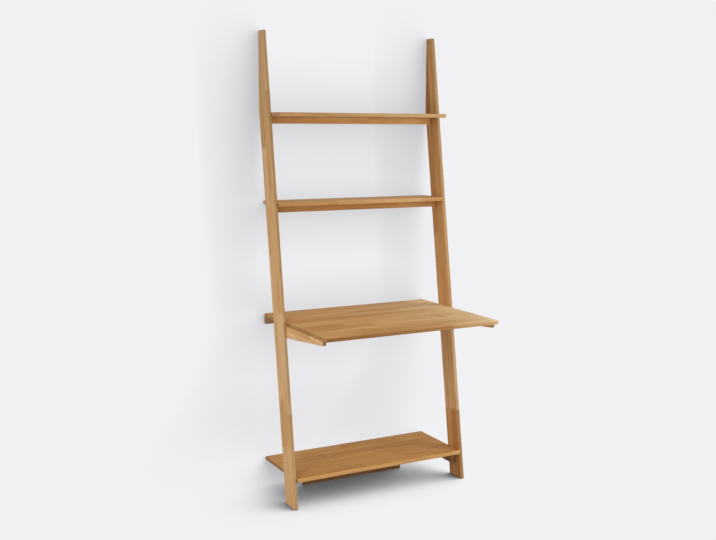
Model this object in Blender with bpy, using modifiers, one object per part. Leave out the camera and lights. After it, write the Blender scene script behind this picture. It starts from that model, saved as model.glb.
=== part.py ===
"""Ladder desk: two leaning plank uprights that carry two shelves, a desk top and a bottom shelf.

Units are metres, +Z is up, +X is the right-hand side and +Y points to the wall.
The origin is on the floor, in the middle of the width and of the overall depth.
"""

from math import radians

import bmesh
import bpy
from mathutils import Euler, Matrix, Vector

# Overall sizes
HEIGHT = 1.900
WIDTH = 0.810
DEPTH = 0.580

# Uprights: planks that lean on the wall
UPRIGHT_THICKNESS = 0.015
FOOT_REACH = 0.335
FOOT_DEPTH = 0.092
TOP_DEPTH = 0.044

# Boards, their levels and how far they stand in front of the uprights
BOARD_THICKNESS = 0.016
TOP_SHELF_DROP = 0.326
SHELF_SPACING = 0.357
DESK_LEVEL = 0.745
BOTTOM_SHELF_LEVEL = 0.1255
TOP_SHELF_LIP = 0.077
SECOND_SHELF_LIP = 0.009
BOTTOM_SHELF_LIP = 0.010

# Rails under the boards
RAIL_HEIGHT = 0.028
RAIL_THICKNESS = 0.016
RAIL_BACK_INSET = 0.023
RAIL_SCREW_INSET = 0.120
RAIL_SCREWS = 2

# Tapered brackets under the desk top
BRACKET_THICKNESS = 0.015
BRACKET_TIP_HEIGHT = 0.0175
BRACKET_ROOT_HEIGHT = 0.0575
BRACKET_TIP_SETBACK = 0.026
BRACKET_SCREW_INSET = 0.110

# Cleats under the ends of the bottom shelf
CLEAT_THICKNESS = 0.015
CLEAT_HEIGHT = 0.052
CLEAT_LENGTH = 0.092
CLEAT_FRONT_INSET = 0.030
CLEAT_SCREW_INSET = 0.016
CLEAT_SIDE_SCREW_EDGE = 0.014

# Plinth that carries the bottom shelf near the wall
PLINTH_LENGTH = 0.480
PLINTH_THICKNESS = 0.016
PLINTH_WALL_GAP = 0.072
PLINTH_OFFSET = -0.012
PLINTH_DOWEL_INSET = 0.050
PLINTH_DOWELS = 2

# Steel angles that tie the top shelf to the wall
ANGLE_THICKNESS = 0.002
ANGLE_WIDTH = 0.018
ANGLE_SHELF_LEG = 0.022
ANGLE_WALL_LEG = 0.024
ANGLE_INSET = 0.090
ANGLE_HOLE_RADIUS = 0.0025
ANGLE_EDGE = 0.0003

# Screws through the uprights, with their plugs
END_SCREW_LENGTH = 0.050
END_SCREW_RADIUS = 0.0025
END_HEAD_RADIUS = 0.0042
END_HEAD_HEIGHT = 0.003
PLUG_RADIUS = 0.005
PLUG_LENGTH = 0.0045

# Wood screws from below and from inside
SCREW_RADIUS = 0.00175
SCREW_HEAD_RADIUS = 0.0035
SCREW_HEAD_HEIGHT = 0.0022
SCREW_TIP = 0.004
SCREW_SKIN = 0.005
SCREW_GRIP = 0.018
SIDE_SCREW_EDGE = 0.020
SIDE_SCREW_DROP = 0.026
HEAD_CHAMFER = 0.0007

# Dowels
DOWEL_RADIUS = 0.003
DOWEL_CHAMFER = 0.001
DOWEL_SEAT = 0.016
DOWEL_SKIN = 0.005

# Fits and fineness
GAP = 0.0003
WELD = 0.00003
EDGE = 0.0025
EDGE_SEGMENTS = 2
PROUD = 0.004
SIDES = 12
SHARP = radians(30)
FLAT = radians(1)

# Places worked out from the sizes above
WALL = DEPTH / 2
DESK_FRONT = -DEPTH / 2
LEAN = (FOOT_REACH - TOP_DEPTH) / HEIGHT
INNER = WIDTH / 2 - UPRIGHT_THICKNESS
BOARD_HALF = INNER - GAP
LEVELS = {
    "top_shelf": HEIGHT - TOP_SHELF_DROP,
    "second_shelf": HEIGHT - TOP_SHELF_DROP - SHELF_SPACING,
    "desk_top": DESK_LEVEL,
    "bottom_shelf": BOTTOM_SHELF_LEVEL,
}
LIPS = {
    "top_shelf": TOP_SHELF_LIP,
    "second_shelf": SECOND_SHELF_LIP,
    "bottom_shelf": BOTTOM_SHELF_LIP,
}
SCREWED_BOARDS = ("top_shelf", "second_shelf", "desk_top")
SIDE_NAMES = {-1: "left", 1: "right"}
UP = (0, 0, 1)
DOWN = (0, 0, -1)
TO_WALL = (0, 1, 0)

# Colour, roughness and metallic value of each kind of piece
OAK = ((0.52, 0.315, 0.150), 0.55, 0.0)
PLUG_OAK = ((0.45, 0.262, 0.118), 0.60, 0.0)
BEECH = ((0.62, 0.44, 0.27), 0.60, 0.0)
STEEL = ((0.60, 0.60, 0.58), 0.35, 1.0)


def clear_scene():
    """Remove every object that the file holds."""
    for obj in list(bpy.data.objects):
        bpy.data.objects.remove(obj, do_unlink=True)


def new_collection(name):
    """Make a collection in the scene."""
    collection = bpy.data.collections.new(name)
    bpy.context.scene.collection.children.link(collection)
    return collection


def material(name, look):
    """Make a Principled material from a colour, a roughness and a metallic value."""
    colour, roughness, metallic = look
    made = bpy.data.materials.new(name)
    made.use_nodes = True
    shader = made.node_tree.nodes["Principled BSDF"]
    shader.inputs["Base Color"].default_value = (*colour, 1.0)
    shader.inputs["Roughness"].default_value = roughness
    shader.inputs["Metallic"].default_value = metallic
    return made


def add_part(name, mesh):
    """Add a mesh to the desk as a named part."""
    obj = bpy.data.objects.new(name, mesh)
    PARTS.objects.link(obj)
    obj.parent = ROOT
    return obj


def soften(obj, width):
    """Round the edges of a piece."""
    bevel = obj.modifiers.new("soft_edges", "BEVEL")
    bevel.width = width
    bevel.segments = EDGE_SEGMENTS
    bevel.limit_method = "ANGLE"
    bevel.angle_limit = SHARP


def board(name, low, high):
    """Make a rectangular piece of wood between two corners."""
    low = Vector(low)
    high = Vector(high)
    bm = bmesh.new()
    bmesh.ops.create_cube(bm, size=1.0)
    bmesh.ops.scale(bm, vec=high - low, verts=bm.verts)
    mesh = bpy.data.meshes.new(name)
    bm.to_mesh(mesh)
    bm.free()
    mesh.materials.append(material(name, OAK))
    obj = add_part(name, mesh)
    obj.location = (low + high) / 2
    soften(obj, EDGE)
    return obj


def plank(name, outline, middle, thickness, look, edge):
    """Make a flat piece from an outline of (y, z) points, centred on x = middle."""
    curve = bpy.data.curves.new(name, "CURVE")
    curve.dimensions = "2D"
    curve.fill_mode = "BOTH"
    curve.extrude = thickness / 2
    spline = curve.splines.new("POLY")
    spline.points.add(len(outline) - 1)
    for point, (y, z) in zip(spline.points, outline):
        point.co = (y, z, 0, 1)
    spline.use_cyclic_u = True
    flat = bpy.data.objects.new(name + "_outline", curve)
    mesh = evaluated_mesh(flat)
    bm = bmesh.new()
    bm.from_mesh(mesh)
    bmesh.ops.remove_doubles(bm, verts=bm.verts, dist=WELD)
    bmesh.ops.dissolve_limit(bm, angle_limit=FLAT, verts=bm.verts, edges=bm.edges)
    bmesh.ops.recalc_face_normals(bm, faces=bm.faces)
    bm.to_mesh(mesh)
    bm.free()
    mesh.materials.append(material(name, look))
    obj = add_part(name, mesh)
    obj.location = (middle, 0, 0)
    obj.rotation_euler = Euler((radians(90), 0, radians(90)))
    soften(obj, edge)
    return obj


def evaluated_mesh(obj):
    """Turn a helper object with its modifiers into a plain mesh, and remove the helper."""
    bpy.context.scene.collection.objects.link(obj)
    graph = bpy.context.evaluated_depsgraph_get()
    mesh = bpy.data.meshes.new_from_object(obj.evaluated_get(graph))
    bpy.data.objects.remove(obj)
    return mesh


def turned(name, profile):
    """Turn a profile of (radius, z) points, listed from top to bottom, about Z."""
    line = bpy.data.meshes.new(name)
    points = [(radius, 0, z) for radius, z in profile]
    line.from_pydata(points, [(i, i + 1) for i in range(len(points) - 1)], [])
    obj = bpy.data.objects.new(name, line)
    screw = obj.modifiers.new("turn", "SCREW")
    screw.steps = SIDES
    screw.render_steps = SIDES
    screw.use_merge_vertices = True
    screw.merge_threshold = WELD
    return evaluated_mesh(obj)


def copies(name, solid, poses):
    """Join one copy of a solid at each pose into a new mesh."""
    bm = bmesh.new()
    for pose in poses:
        start = len(bm.verts)
        bm.from_mesh(solid)
        bm.verts.ensure_lookup_table()
        bmesh.ops.transform(bm, matrix=pose, verts=bm.verts[start:])
    mesh = bpy.data.meshes.new(name)
    bm.to_mesh(mesh)
    bm.free()
    return mesh


def aim(point, direction):
    """Pose of a fastener whose head lies at a point and whose tip points along a direction."""
    turn = Vector(direction).to_track_quat("-Z", "Y")
    return Matrix.Translation(Vector(point)) @ turn.to_matrix().to_4x4()


def fasteners(name, profile, poses, look):
    """Make a numbered turned fastener at each pose, all on one mesh."""
    mesh = turned(name, profile)
    mesh.shade_smooth()
    mesh.set_sharp_from_angle(angle=SHARP)
    mesh.materials.append(material(name, look))
    for number, pose in enumerate(poses, start=1):
        add_part(f"{name}_{number}", mesh).matrix_basis = pose


def bore(pieces, name, profile, poses):
    """Cut the holes of one kind of fastener into the pieces that it passes through."""
    cutter = bpy.data.objects.new(name + "_holes", copies(name, turned(name, profile), poses))
    cutter.hide_render = True
    cutter.display_type = "WIRE"
    CUTTERS.objects.link(cutter)
    cutter.parent = ROOT
    for piece in pieces:
        cut = piece.modifiers.new(name, "BOOLEAN")
        cut.operation = "DIFFERENCE"
        cut.object = cutter


def hole(*steps):
    """Profile of a stepped hole from (radius, depth) steps, widened by the gap and run out past its face."""
    profile = [(0, PROUD), (steps[0][0] + GAP, PROUD)]
    for index, (radius, depth) in enumerate(steps):
        if index:
            profile.append((radius + GAP, profile[-1][1]))
        profile.append((radius + GAP, -depth - GAP))
    return profile + [(0, profile[-1][1])]


def screw_profile(length, radius, head_radius, head_height):
    """Screw with a low round head, from the top of its head at z = 0."""
    return [
        (0, 0),
        (head_radius - HEAD_CHAMFER, 0),
        (head_radius, -HEAD_CHAMFER),
        (head_radius, -head_height),
        (radius, -head_height),
        (radius, SCREW_TIP - length),
        (0, -length),
    ]


def wood_screw(length):
    """Profile of the plain wood screw at some length."""
    return screw_profile(length, SCREW_RADIUS, SCREW_HEAD_RADIUS, SCREW_HEAD_HEIGHT)


def dowel_profile(length):
    """Straight dowel with chamfered ends, from its top at z = 0."""
    slim = DOWEL_RADIUS - DOWEL_CHAMFER
    return [
        (0, 0),
        (slim, 0),
        (DOWEL_RADIUS, -DOWEL_CHAMFER),
        (DOWEL_RADIUS, DOWEL_CHAMFER - length),
        (slim, -length),
        (0, -length),
    ]


def socket_profile(length):
    """Closed room for a dowel, half in each of the two pieces that it joins."""
    wide = DOWEL_RADIUS + GAP
    return [(0, GAP), (wide, GAP), (wide, -length - GAP), (0, -length - GAP)]


def spread(half, count):
    """Places spaced evenly from -half to +half."""
    return [half * (2 * i / (count - 1) - 1) for i in range(count)]


def front_at(z):
    """Y of an upright's front edge at a height."""
    return WALL - FOOT_REACH + LEAN * z


def back_at(z):
    """Y of an upright's back edge at a height."""
    return min(front_at(z) + FOOT_DEPTH, WALL)


def middle_at(z):
    """Y of the middle of an upright at a height."""
    return (front_at(z) + back_at(z)) / 2


def under(name):
    """Z just below a board, where what carries it ends."""
    return LEVELS[name] - BOARD_THICKNESS - GAP


def make_uprights():
    """Make the two leaning planks, left first."""
    bend = (FOOT_REACH - FOOT_DEPTH) / LEAN
    outline = [
        (front_at(0), 0),
        (back_at(0), 0),
        (WALL, bend),
        (WALL, HEIGHT),
        (front_at(HEIGHT), HEIGHT),
    ]
    centre = INNER + UPRIGHT_THICKNESS / 2
    return [
        plank(name + "_upright", outline, side * centre, UPRIGHT_THICKNESS, OAK, EDGE)
        for side, name in SIDE_NAMES.items()
    ]


def make_boards():
    """Make the two shelves, the desk top and the bottom shelf."""
    boards = {}
    for name, level in LEVELS.items():
        front = front_at(level) - LIPS[name] if name in LIPS else DESK_FRONT
        low = (-BOARD_HALF, front, level - BOARD_THICKNESS)
        boards[name] = board(name, low, (BOARD_HALF, WALL, level))
    return boards


def screw_board_ends(uprights, boards):
    """Screw the ends of the upper boards through the uprights, and plug the screw holes."""
    sunk = PLUG_LENGTH + GAP
    screw = screw_profile(END_SCREW_LENGTH, END_SCREW_RADIUS, END_HEAD_RADIUS, END_HEAD_HEIGHT)
    plug = [(0, 0), (PLUG_RADIUS, 0), (PLUG_RADIUS, -PLUG_LENGTH), (0, -PLUG_LENGTH)]
    stepped = hole((PLUG_RADIUS, sunk + END_HEAD_HEIGHT), (END_SCREW_RADIUS, sunk + END_SCREW_LENGTH))
    for name in SCREWED_BOARDS:
        z = LEVELS[name] - BOARD_THICKNESS / 2
        mouths = [aim((side * WIDTH / 2, middle_at(z), z), (-side, 0, 0)) for side in SIDE_NAMES]
        heads = [mouth @ Matrix.Translation((0, 0, -sunk)) for mouth in mouths]
        fasteners(name + "_end_screw", screw, heads, STEEL)
        fasteners(name + "_plug", plug, mouths, PLUG_OAK)
        bore([*uprights, boards[name]], name + "_end_screw", stepped, mouths)


def dowel_into_uprights(uprights, piece, y, z):
    """Dowel both ends of a piece into the uprights."""
    name = piece.name + "_dowel"
    bury = UPRIGHT_THICKNESS - DOWEL_SKIN
    length = bury + GAP + DOWEL_SEAT
    poses = [aim((side * (INNER + bury), y, z), (-side, 0, 0)) for side in SIDE_NAMES]
    fasteners(name, dowel_profile(length), poses, BEECH)
    bore([*uprights, piece], name, socket_profile(length), poses)


def screw_from_below(name, pieces, places, bottom, joint):
    """Screw a piece up into a board at (x, y) places; the holes start at the piece's bottom."""
    length = SCREW_GRIP + GAP + BOARD_THICKNESS - SCREW_SKIN
    recess = joint - SCREW_GRIP - bottom
    heads = [aim((x, y, joint - SCREW_GRIP), UP) for x, y in places]
    mouths = [aim((x, y, bottom), UP) for x, y in places]
    fasteners(name, wood_screw(length), heads, STEEL)
    stepped = hole((SCREW_HEAD_RADIUS, recess + SCREW_HEAD_HEIGHT), (SCREW_RADIUS, recess + length))
    bore(pieces, name, stepped, mouths)


def screw_to_uprights(name, pieces, thickness, z, places):
    """Screw a pair of side pieces of some thickness to the uprights from inside, at y places."""
    length = thickness + GAP + UPRIGHT_THICKNESS - SCREW_SKIN
    face = INNER - GAP - thickness
    poses = [aim((side * face, y, z), (side, 0, 0)) for side in SIDE_NAMES for y in places]
    fasteners(name, wood_screw(length), poses, STEEL)
    stepped = hole((SCREW_HEAD_RADIUS, SCREW_HEAD_HEIGHT), (SCREW_RADIUS, length))
    bore(pieces, name, stepped, poses)


def make_rail(name, carried, back):
    """Make a rail under a board, with its back face at a given y, and screw it to the board."""
    top = under(carried.name)
    bottom = top - RAIL_HEIGHT
    rail = board(name, (-BOARD_HALF, back - RAIL_THICKNESS, bottom), (BOARD_HALF, back, top))
    y = back - RAIL_THICKNESS / 2
    places = [(x, y) for x in spread(INNER - RAIL_SCREW_INSET, RAIL_SCREWS)]
    screw_from_below(name + "_screw", [rail, carried], places, bottom, top)
    return rail


def make_shelf_rails(uprights, boards):
    """Put a doweled rail under each of the two upper shelves."""
    for name, shelf in (("top_rail", boards["top_shelf"]), ("second_rail", boards["second_shelf"])):
        z = under(shelf.name) - RAIL_HEIGHT / 2
        back = back_at(z) - RAIL_BACK_INSET
        rail = make_rail(name, shelf, back)
        dowel_into_uprights(uprights, rail, back - RAIL_THICKNESS / 2, z)


def make_desk_brackets(uprights, desk):
    """Carry the desk top on two tapered brackets inside the uprights."""
    top = under("desk_top")
    bottom = top - BRACKET_ROOT_HEIGHT
    tip = DESK_FRONT + BRACKET_TIP_SETBACK
    root = back_at(bottom)
    outline = [(tip, top - BRACKET_TIP_HEIGHT), (root, bottom), (root, top), (tip, top)]
    centre = INNER - GAP - BRACKET_THICKNESS / 2
    brackets = [
        plank(name + "_desk_bracket", outline, side * centre, BRACKET_THICKNESS, OAK, EDGE)
        for side, name in SIDE_NAMES.items()
    ]
    rows = (tip + BRACKET_SCREW_INSET, front_at(bottom) - BRACKET_SCREW_INSET)
    places = [(side * centre, y) for side in SIDE_NAMES for y in rows]
    screw_from_below("desk_bracket_screw", [*brackets, desk], places, bottom, top)
    height = top - SIDE_SCREW_DROP
    seats = (front_at(height) + SIDE_SCREW_EDGE, back_at(height) - SIDE_SCREW_EDGE)
    screw_to_uprights("desk_bracket_side_screw", [*brackets, *uprights], BRACKET_THICKNESS, height, seats)


def make_cleats(uprights, shelf):
    """Carry the ends of the bottom shelf on two cleats inside the uprights."""
    top = under("bottom_shelf")
    bottom = top - CLEAT_HEIGHT
    front = front_at(top) + CLEAT_FRONT_INSET
    back = front + CLEAT_LENGTH
    outline = [(front, bottom), (back, bottom), (back, top), (front, top)]
    centre = INNER - GAP - CLEAT_THICKNESS / 2
    cleats = [
        plank(name + "_cleat", outline, side * centre, CLEAT_THICKNESS, OAK, EDGE)
        for side, name in SIDE_NAMES.items()
    ]
    height = top - SIDE_SCREW_DROP
    reach = min(back, back_at(height))
    seats = (front + CLEAT_SIDE_SCREW_EDGE, reach - CLEAT_SIDE_SCREW_EDGE)
    rows = ((front + reach) / 2, back - CLEAT_SCREW_INSET)
    places = [(side * centre, y) for side in SIDE_NAMES for y in rows]
    screw_from_below("cleat_screw", [*cleats, shelf], places, bottom, top)
    screw_to_uprights("cleat_side_screw", [*cleats, *uprights], CLEAT_THICKNESS, height, seats)


def make_plinth(shelf):
    """Stand the back of the bottom shelf on a plinth, doweled up into the shelf."""
    back = WALL - PLINTH_WALL_GAP
    front = back - PLINTH_THICKNESS
    half = PLINTH_LENGTH / 2
    low = (PLINTH_OFFSET - half, front, 0)
    plinth = board("plinth", low, (PLINTH_OFFSET + half, back, under("bottom_shelf")))
    bury = BOARD_THICKNESS - DOWEL_SKIN
    length = bury + GAP + DOWEL_SEAT
    top = BOTTOM_SHELF_LEVEL - DOWEL_SKIN
    y = (front + back) / 2
    places = [PLINTH_OFFSET + x for x in spread(half - PLINTH_DOWEL_INSET, PLINTH_DOWELS)]
    poses = [aim((x, y, top), DOWN) for x in places]
    fasteners("plinth_dowel", dowel_profile(length), poses, BEECH)
    bore([plinth, shelf], "plinth_dowel", socket_profile(length), poses)


def make_wall_angles(shelf):
    """Tie the back edge of the top shelf to the wall with two drilled steel angles."""
    top = under("top_shelf")
    low = top - ANGLE_THICKNESS
    outline = [
        (WALL - ANGLE_SHELF_LEG, top),
        (WALL - ANGLE_SHELF_LEG, low),
        (WALL - ANGLE_THICKNESS, low),
        (WALL - ANGLE_THICKNESS, top - ANGLE_WALL_LEG),
        (WALL, top - ANGLE_WALL_LEG),
        (WALL, top),
    ]
    centre = INNER - ANGLE_INSET
    angles = [
        plank(name + "_wall_angle", outline, side * centre, ANGLE_WIDTH, STEEL, ANGLE_EDGE)
        for side, name in SIDE_NAMES.items()
    ]
    drill = (top + low - ANGLE_WALL_LEG) / 2
    wall_holes = [aim((side * centre, WALL - ANGLE_THICKNESS, drill), TO_WALL) for side in SIDE_NAMES]
    bore(angles, "wall_angle", hole((ANGLE_HOLE_RADIUS, ANGLE_THICKNESS + PROUD)), wall_holes)
    reach = ANGLE_THICKNESS + GAP + BOARD_THICKNESS - SCREW_SKIN
    y = WALL - (ANGLE_SHELF_LEG + ANGLE_THICKNESS) / 2
    head = low - GAP - SCREW_HEAD_HEIGHT
    mouths = [aim((side * centre, y, low), UP) for side in SIDE_NAMES]
    heads = [aim((side * centre, y, head), UP) for side in SIDE_NAMES]
    fasteners("wall_angle_screw", wood_screw(SCREW_HEAD_HEIGHT + GAP + reach), heads, STEEL)
    bore([*angles, shelf], "wall_angle_screw", hole((SCREW_RADIUS, reach)), mouths)


def main():
    """Build the whole desk."""
    uprights = make_uprights()
    boards = make_boards()
    screw_board_ends(uprights, boards)
    make_shelf_rails(uprights, boards)
    make_rail("desk_rear_rail", boards["desk_top"], WALL)
    make_desk_brackets(uprights, boards["desk_top"])
    make_cleats(uprights, boards["bottom_shelf"])
    make_plinth(boards["bottom_shelf"])
    make_wall_angles(boards["top_shelf"])


clear_scene()
PARTS = new_collection("ladder_desk")
CUTTERS = new_collection("cutters")
ROOT = bpy.data.objects.new("ladder_desk_root", None)
PARTS.objects.link(ROOT)
main()
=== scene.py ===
"""Dress the ladder desk: oak boards glued up from staves, plugs, screws, dowels and steel angles.

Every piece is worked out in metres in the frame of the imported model, where +Z is up, +X is the
right-hand side and +Y points to the wall that the desk leans on.
"""

import logging
import math
from abc import ABC, abstractmethod
from dataclasses import dataclass, field
from enum import Enum
from typing import ClassVar

import bpy
import numpy as np
from mathutils import Matrix, Vector
from numpy.typing import NDArray


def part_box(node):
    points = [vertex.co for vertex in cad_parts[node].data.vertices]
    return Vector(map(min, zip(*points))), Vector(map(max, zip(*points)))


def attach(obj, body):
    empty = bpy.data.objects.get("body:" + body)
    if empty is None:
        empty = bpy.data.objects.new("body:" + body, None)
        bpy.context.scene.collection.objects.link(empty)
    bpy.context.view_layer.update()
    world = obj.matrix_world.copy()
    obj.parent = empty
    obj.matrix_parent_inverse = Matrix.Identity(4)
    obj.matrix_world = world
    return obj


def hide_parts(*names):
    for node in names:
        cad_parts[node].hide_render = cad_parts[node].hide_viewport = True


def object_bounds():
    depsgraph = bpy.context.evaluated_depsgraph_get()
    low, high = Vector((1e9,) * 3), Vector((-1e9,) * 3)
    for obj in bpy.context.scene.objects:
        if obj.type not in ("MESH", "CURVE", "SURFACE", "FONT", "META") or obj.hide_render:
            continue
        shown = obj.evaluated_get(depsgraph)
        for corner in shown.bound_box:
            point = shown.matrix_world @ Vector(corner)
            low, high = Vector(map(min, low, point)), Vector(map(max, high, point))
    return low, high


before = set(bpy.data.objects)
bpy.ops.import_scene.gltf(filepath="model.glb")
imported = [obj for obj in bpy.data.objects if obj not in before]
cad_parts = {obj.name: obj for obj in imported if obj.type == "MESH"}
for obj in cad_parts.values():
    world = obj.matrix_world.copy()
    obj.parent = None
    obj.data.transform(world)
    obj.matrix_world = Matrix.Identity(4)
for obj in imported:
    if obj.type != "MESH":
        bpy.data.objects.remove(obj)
CAD_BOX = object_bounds()

LOG = logging.getLogger("ladder_desk")
BODY = "root"
STAVE_WIDTH = 0.0458
BLOCK_LENGTH = 0.41
QUARTER = math.pi / 2
SHARP_ANGLE = math.radians(35)
UP = np.array([0.0, 0.0, 1.0])
WHITE = (1.0, 1.0, 1.0)

Array = NDArray[np.float64]
Numbers = NDArray[np.int64]
Point = tuple[float, float, float]
Colour = tuple[float, float, float]
Pair = tuple[float, float]
Socket = bpy.types.NodeSocket
Fed = Socket | float | tuple[float, ...]


class Axis(Enum):
    """The direction that a bar runs along."""

    X = 0
    Y = 1
    Z = 2

    @property
    def others(self) -> tuple[int, int]:
        """The two cross directions, in right-handed order."""
        return (self.value + 1) % 3, (self.value + 2) % 3


class Domain(Enum):
    """What a mesh keeps one value for."""

    POINT = "POINT"
    FACE = "FACE"


@dataclass(frozen=True)
class Surface:
    """A closed mesh as plain arrays.

    Args:
        points: One row of x, y, z per vertex.
        quads: One row of four vertex numbers per face, turning left seen from outside.
        caps: Vertex numbers of the faces that close the ends.
    """

    points: Array
    quads: Numbers
    caps: tuple[Numbers, ...] = ()

    def moved(self, turn: Array, place: Array) -> "Surface":
        """The same surface turned by a matrix and then moved."""
        return Surface(self.points @ turn.T + place, self.quads, self.caps)


def skin(rings: Array) -> Surface:
    """Cover a stack of rings with quads and close both ends with a flat face.

    Point (i, j) is joined to its neighbours (i, j + 1) and (i + 1, j), and j wraps round.

    Args:
        rings: Points as an array of rings by points by 3; each ring turns left seen from the last one.

    Returns:
        The closed surface.
    """
    count, around = rings.shape[:2]
    number = np.arange(count * around).reshape(count, around)
    after = np.roll(number, -1, axis=1)
    quads = np.stack([number[:-1], after[:-1], after[1:], number[1:]], axis=-1)
    return Surface(rings.reshape(-1, 3), quads.reshape(-1, 4), (number[0, ::-1], number[-1]))


def joined(parts: list[Surface]) -> Surface:
    """Put several surfaces into one, each keeping its own points.

    Args:
        parts: The surfaces.

    Returns:
        One surface of them all.
    """
    firsts = np.cumsum([0] + [len(part.points) for part in parts])
    points = np.concatenate([part.points for part in parts])
    quads = np.concatenate([part.quads + first for part, first in zip(parts, firsts)])
    caps = tuple(cap + first for part, first in zip(parts, firsts) for cap in part.caps)
    return Surface(points, quads, caps)


def round_angles(sides: int) -> Array:
    """Even angles round a circle."""
    return np.arange(sides) * math.tau / sides


def turned(radius: Array, height: Array, sides: int) -> Array:
    """Turn a profile about Z: P(v, t) = (r(v) cos t, r(v) sin t, h(v)).

    Args:
        radius: Radius of each ring.
        height: Height of each ring, from the bottom of the outside to the middle of the top.
        sides: Points round each ring.

    Returns:
        The rings.
    """
    angle = round_angles(sides)
    waves = (np.outer(radius, np.cos(angle)), np.outer(radius, np.sin(angle)))
    return np.stack([*waves, np.outer(height, np.ones(sides))], axis=-1)


def limits(node: str) -> tuple[Array, Array]:
    """Lower and upper corner of a solid's box."""
    low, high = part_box(node)
    return np.array(low), np.array(high)


def facing(aim: Array | Point) -> Matrix:
    """Matrix that turns -Z to point along an aim, with Y up."""
    return Vector(aim).to_track_quat("-Z", "Y").to_matrix()


def as_object(name: str, surface: Surface) -> bpy.types.Object:
    """Put a surface into a new object of the scene, at the origin.

    Args:
        name: Name of the object.
        surface: Its shape.

    Returns:
        The object.
    """
    mesh = bpy.data.meshes.new(name)
    faces = surface.quads.tolist() + [cap.tolist() for cap in surface.caps]
    mesh.from_pydata(surface.points.tolist(), [], faces)
    mesh.validate()
    made = bpy.data.objects.new(name, mesh)
    bpy.context.scene.collection.objects.link(made)
    return made


def drilled(piece: bpy.types.Object, cutters: list[Surface]) -> None:
    """Cut holes into a piece and keep the result as its plain mesh.

    Args:
        piece: The piece, with no other modifiers.
        cutters: Closed surfaces that don't touch each other.
    """
    if not cutters:
        return
    tool = as_object(piece.name + "_cutters", joined(cutters))
    cut = piece.modifiers.new("holes", "BOOLEAN")
    cut.operation = "DIFFERENCE"
    cut.object = tool
    graph = bpy.context.evaluated_depsgraph_get()
    mesh = bpy.data.meshes.new_from_object(piece.evaluated_get(graph))
    piece.modifiers.remove(cut)
    plain = piece.data
    piece.data = mesh
    mesh.name = piece.name
    bpy.data.meshes.remove(plain)
    bpy.data.objects.remove(tool)


def rows(parts: bpy.types.bpy_prop_collection, what: str) -> Array:
    """Read one vector of every vertex or face of a mesh.

    Args:
        parts: The vertices or the faces.
        what: Name of the vector.

    Returns:
        One row per vertex or face.
    """
    flat = np.empty(len(parts) * 3)
    parts.foreach_get(what, flat)
    return flat.reshape(-1, 3)


def store(mesh: bpy.types.Mesh, name: str, domain: Domain, values: Array) -> None:
    """Keep one vector or one number per vertex or face under a name that a finish reads.

    Args:
        mesh: The mesh.
        name: The name.
        domain: Whether the values belong to vertices or to faces.
        values: One row or one number for each.
    """
    kind, key = ("FLOAT", "value") if values.ndim == 1 else ("FLOAT_VECTOR", "vector")
    kept = mesh.attributes.new(name, kind, domain.value)
    kept.data.foreach_set(key, values.astype(np.float32).ravel())


def hand_over(piece: bpy.types.Object, node: str, finish: bpy.types.Material) -> None:
    """Dress a piece, make it ride on the desk and let it stand for its solid.

    It is shaded smooth up to a sharp angle, with its large faces kept flat.

    Args:
        piece: The piece.
        node: The solid that it stands for.
        finish: Its material.
    """
    piece.data.shade_smooth()
    piece.data.set_sharp_from_angle(angle=SHARP_ANGLE)
    piece.modifiers.new("even_normals", "WEIGHTED_NORMAL").keep_sharp = True
    piece.data.materials.clear()
    piece.data.materials.append(finish)
    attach(piece, BODY)
    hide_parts(node)
    LOG.info("%s stands for %s: %d faces", piece.name, node, len(piece.data.polygons))


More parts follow.
